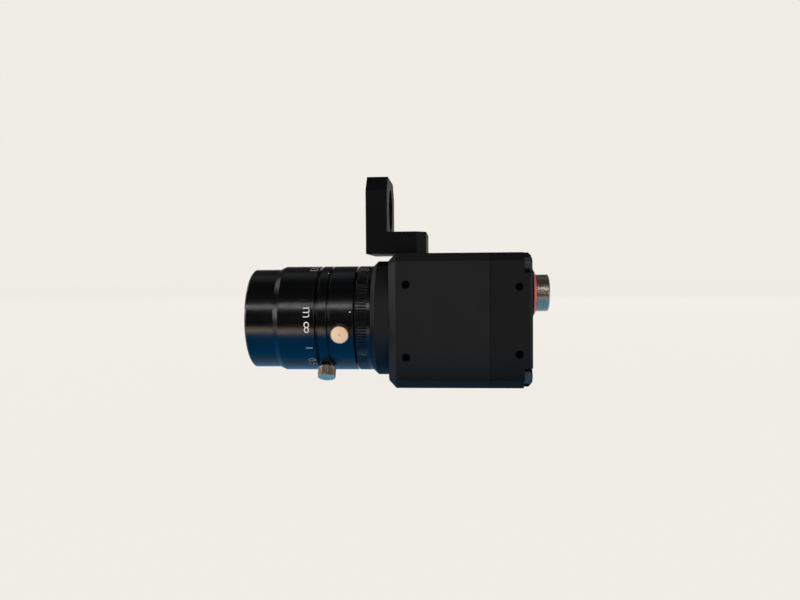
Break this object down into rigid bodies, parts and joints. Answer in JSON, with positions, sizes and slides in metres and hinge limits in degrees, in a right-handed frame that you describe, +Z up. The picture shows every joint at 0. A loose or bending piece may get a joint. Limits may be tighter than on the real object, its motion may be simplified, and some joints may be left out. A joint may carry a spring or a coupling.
{
  "type": "machine vision camera",
  "caption": "Square black machine vision camera with a focusing lens, lock screws, a round threaded rear connector and an L-shaped fixing bracket on top.",
  "frame": {"origin": "centre of the flat underside, midway between its two pairs of tapped holes", "axes": "+X along the lens axis from the lens to the connector, +Y across the body, +Z up to the bracket"},
  "size_m": [0.0932, 0.0405, 0.0636],
  "materials": {
    "body_finish": "satin black anodised",
    "cover_finish": "satin black anodised",
    "bracket_finish": "satin black anodised",
    "lens_finish": "satin black anodised",
    "lens_inner_black": "matt black anodised",
    "screw_steel": "black oxide",
    "pin_steel": "ground",
    "blade_steel": "matt black",
    "thumb_screw_steel": "bright nickel plate over steel",
    "nickel_plate": "nickel plated brass",
    "gold_plate": "gold plated",
    "spacer_brass": "turned",
    "red_seal": "satin red",
    "gasket_rubber": "matt",
    "insert_plastic": "moulded black",
    "light_pipe_plastic": "clear",
    "filter_glass": "infrared cut filter",
    "sensor_cover_glass": "polished",
    "lens_glass": "coated",
    "sensor_ceramic": "ceramic package",
    "board_laminate": "solder mask green",
    "chip_plastic": "moulded black"
  },
  "bodies": {
    "camera": {"front_housing": "body_finish", "rear_cover": "cover_finish", "cover_gasket": "gasket_rubber", "cover_screws": "screw_steel", "bracket": "bracket_finish", "bracket_screws": "screw_steel", "connector_shell": "nickel_plate", "connector_seal_ring": "red_seal", "connector_insert": "insert_plastic", "connector_contacts": "gold_plate", "connector_locknut": "nickel_plate", "status_light_pipe": "light_pipe_plastic", "sensor_window": "filter_glass", "window_retaining_ring": "lens_inner_black", "image_sensor": "sensor_ceramic", "sensor_glass": "sensor_cover_glass", "sensor_board": "board_laminate", "processor_board": "board_laminate", "interface_board": "board_laminate", "processor_chip": "chip_plastic", "board_spacers": "spacer_brass", "board_screws": "screw_steel", "lens_base": "lens_inner_black", "index_ring": "lens_finish", "guide_pin": "pin_steel", "focus_snap_ring": "pin_steel", "mount_grip_ring": "lens_finish", "rear_doublet": "lens_glass", "rear_spacer": "lens_inner_black", "rear_element": "lens_glass", "rear_retaining_ring": "lens_inner_black", "iris_base_plate": "lens_inner_black", "iris_retaining_ring": "lens_inner_black"},
    "focus_ring": {"focus_ring": "lens_finish"},
    "front_barrel": {"front_barrel": "lens_finish", "front_element": "lens_glass", "front_spacer": "lens_inner_black", "second_element": "lens_glass", "front_retaining_ring": "lens_inner_black", "front_baffle_ring": "lens_inner_black"},
    "iris_ring": {"iris_ring": "lens_finish", "iris_drive_pin": "pin_steel", "iris_cam_ring": "lens_inner_black"},
    "focus_lock_screw": {"focus_lock_screw": "thumb_screw_steel"},
    "iris_lock_screw": {"iris_lock_screw": "thumb_screw_steel"},
    "iris_blade_1": {"iris_blade_1": "blade_steel"},
    "iris_blade_2": {"iris_blade_2": "blade_steel"},
    "iris_blade_3": {"iris_blade_3": "blade_steel"},
    "iris_blade_4": {"iris_blade_4": "blade_steel"},
    "iris_blade_5": {"iris_blade_5": "blade_steel"},
    "iris_blade_6": {"iris_blade_6": "blade_steel"}
  },
  "joints": [
    {"name": "focus_turn", "type": "hinge", "parent": "camera", "child": "focus_ring", "pos_m": [-0.05075, 0, 0.02], "axis": [1, 0, 0], "range_deg": [0, 293]},
    {"name": "front_barrel_slide", "type": "slide", "parent": "camera", "child": "front_barrel", "axis": [1, 0, 0], "range_m": [0, 0.0024]},
    {"name": "iris_turn", "type": "hinge", "parent": "camera", "child": "iris_ring", "pos_m": [-0.03635, 0, 0.02], "axis": [1, 0, 0], "range_deg": [-50, 0]},
    {"name": "focus_lock_screw_turn", "type": "hinge", "parent": "camera", "child": "focus_lock_screw", "pos_m": [-0.04185, -0.00803, 0.00502], "axis": [0, -0.4726, -0.8813], "range_deg": [0, 360]},
    {"name": "iris_lock_screw_turn", "type": "hinge", "parent": "iris_ring", "child": "iris_lock_screw", "pos_m": [-0.03615, -0.01667, 0.01667], "axis": [0, -0.9806, -0.1959], "range_deg": [0, 360]},
    {"name": "iris_blade_1_turn", "type": "hinge", "parent": "camera", "child": "iris_blade_1", "pos_m": [-0.03525, 0.00996, 0.02363], "axis": [1, 0, 0], "range_deg": [0, 26]},
    {"name": "iris_blade_2_turn", "type": "hinge", "parent": "camera", "child": "iris_blade_2", "pos_m": [-0.03525, 0.00184, 0.03044], "axis": [1, 0, 0], "range_deg": [0, 26]},
    {"name": "iris_blade_3_turn", "type": "hinge", "parent": "camera", "child": "iris_blade_3", "pos_m": [-0.03525, -0.00812, 0.02681], "axis": [1, 0, 0], "range_deg": [0, 26]},
    {"name": "iris_blade_4_turn", "type": "hinge", "parent": "camera", "child": "iris_blade_4", "pos_m": [-0.03525, -0.00996, 0.01638], "axis": [1, 0, 0], "range_deg": [0, 26]},
    {"name": "iris_blade_5_turn", "type": "hinge", "parent": "camera", "child": "iris_blade_5", "pos_m": [-0.03525, -0.00184, 0.00956], "axis": [1, 0, 0], "range_deg": [0, 26]},
    {"name": "iris_blade_6_turn", "type": "hinge", "parent": "camera", "child": "iris_blade_6", "pos_m": [-0.03525, 0.00812, 0.01319], "axis": [1, 0, 0], "range_deg": [0, 26]}
  ],
  "couplings": [
    {"joint": "focus_turn", "follows": "front_barrel_slide", "rad_per_m": 2130.8},
    {"joint": "iris_blade_1_turn", "follows": "iris_turn", "ratio": -0.52},
    {"joint": "iris_blade_2_turn", "follows": "iris_turn", "ratio": -0.52},
    {"joint": "iris_blade_3_turn", "follows": "iris_turn", "ratio": -0.52},
    {"joint": "iris_blade_4_turn", "follows": "iris_turn", "ratio": -0.52},
    {"joint": "iris_blade_5_turn", "follows": "iris_turn", "ratio": -0.52},
    {"joint": "iris_blade_6_turn", "follows": "iris_turn", "ratio": -0.52}
  ]
}
